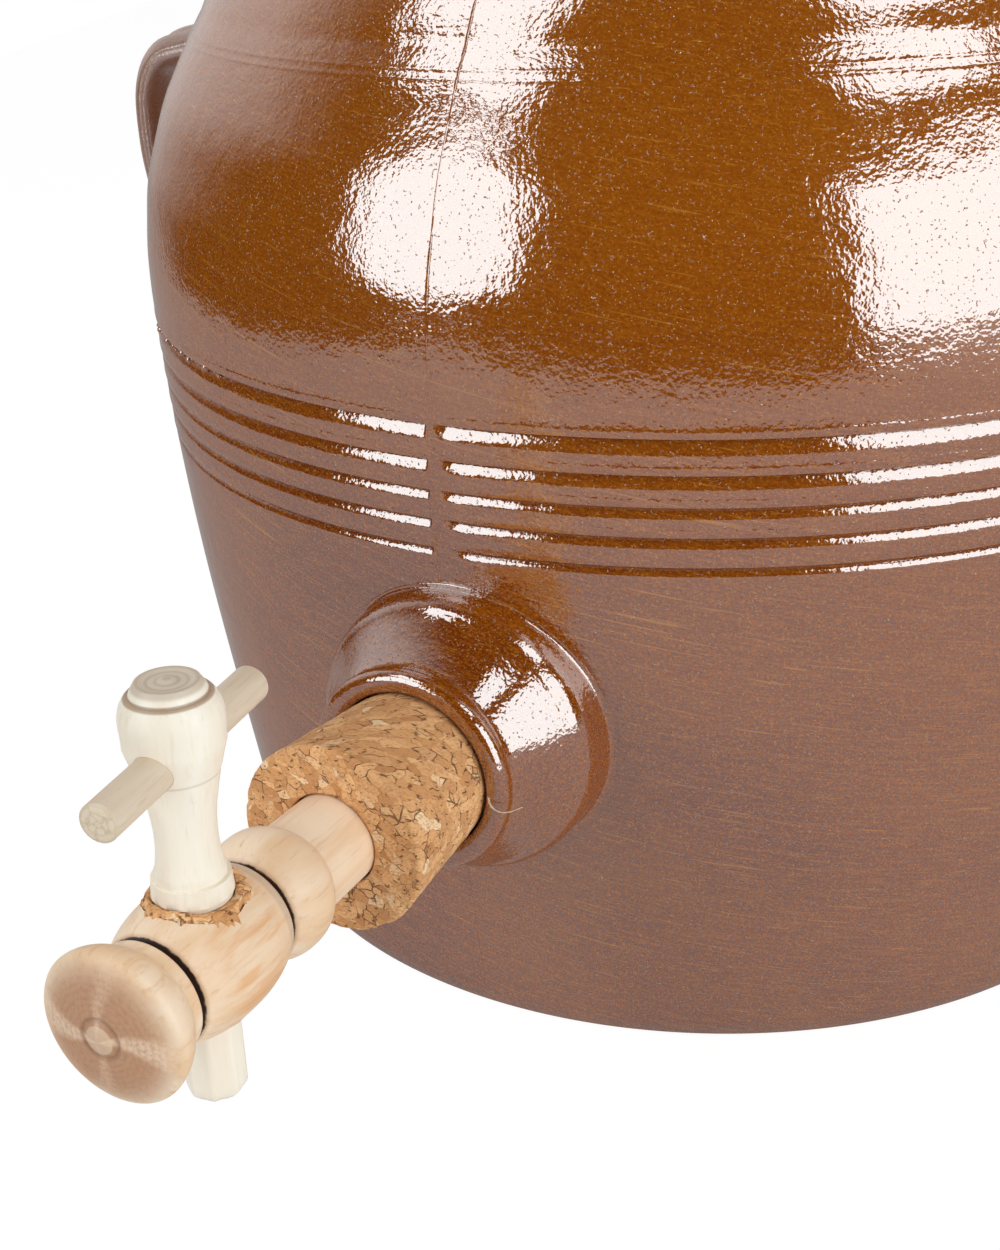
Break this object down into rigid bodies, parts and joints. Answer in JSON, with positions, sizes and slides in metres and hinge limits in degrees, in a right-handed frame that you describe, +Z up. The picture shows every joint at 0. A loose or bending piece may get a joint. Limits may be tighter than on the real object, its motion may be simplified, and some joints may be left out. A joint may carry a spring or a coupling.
{
  "type": "vinegar jar",
  "caption": "Glazed stoneware vinegar jar with ribbed side handles, turned grooves, a lid, and a wooden tap held by a cork bung in a boss.",
  "frame": {"origin": "on the jar's axis, at the middle of the flat foot", "axes": "+Z up along the jar's axis, -Y along the tap away from the jar, handles on -X and +X"},
  "size_m": [0.2716, 0.3107, 0.2398],
  "materials": {
    "brown_glaze": "glossy",
    "cork": "rough",
    "barrel_wood": "satin",
    "key_wood": "satin"
  },
  "bodies": {
    "jar": {"jar_body": "brown_glaze", "left_handle": "brown_glaze", "right_handle": "brown_glaze"},
    "lid": {"lid": "brown_glaze"},
    "tap": {"bung": "cork", "tap_barrel": "barrel_wood", "key_lining": "cork"},
    "key": {"tap_key": "key_wood", "key_crossbar": "key_wood"}
  },
  "joints": [
    {"name": "lid_lift", "type": "slide", "parent": "jar", "child": "lid", "axis": [0, 0, 1], "range_m": [0, 0.06]},
    {"name": "tap_pull", "type": "slide", "parent": "jar", "child": "tap", "axis": [0, -1, 0], "range_m": [0, 0.06]},
    {"name": "key_turn", "type": "hinge", "parent": "tap", "child": "key", "pos_m": [0, -0.17924, 0.0644], "axis": [0, 0, 1], "continuous": true}
  ]
}
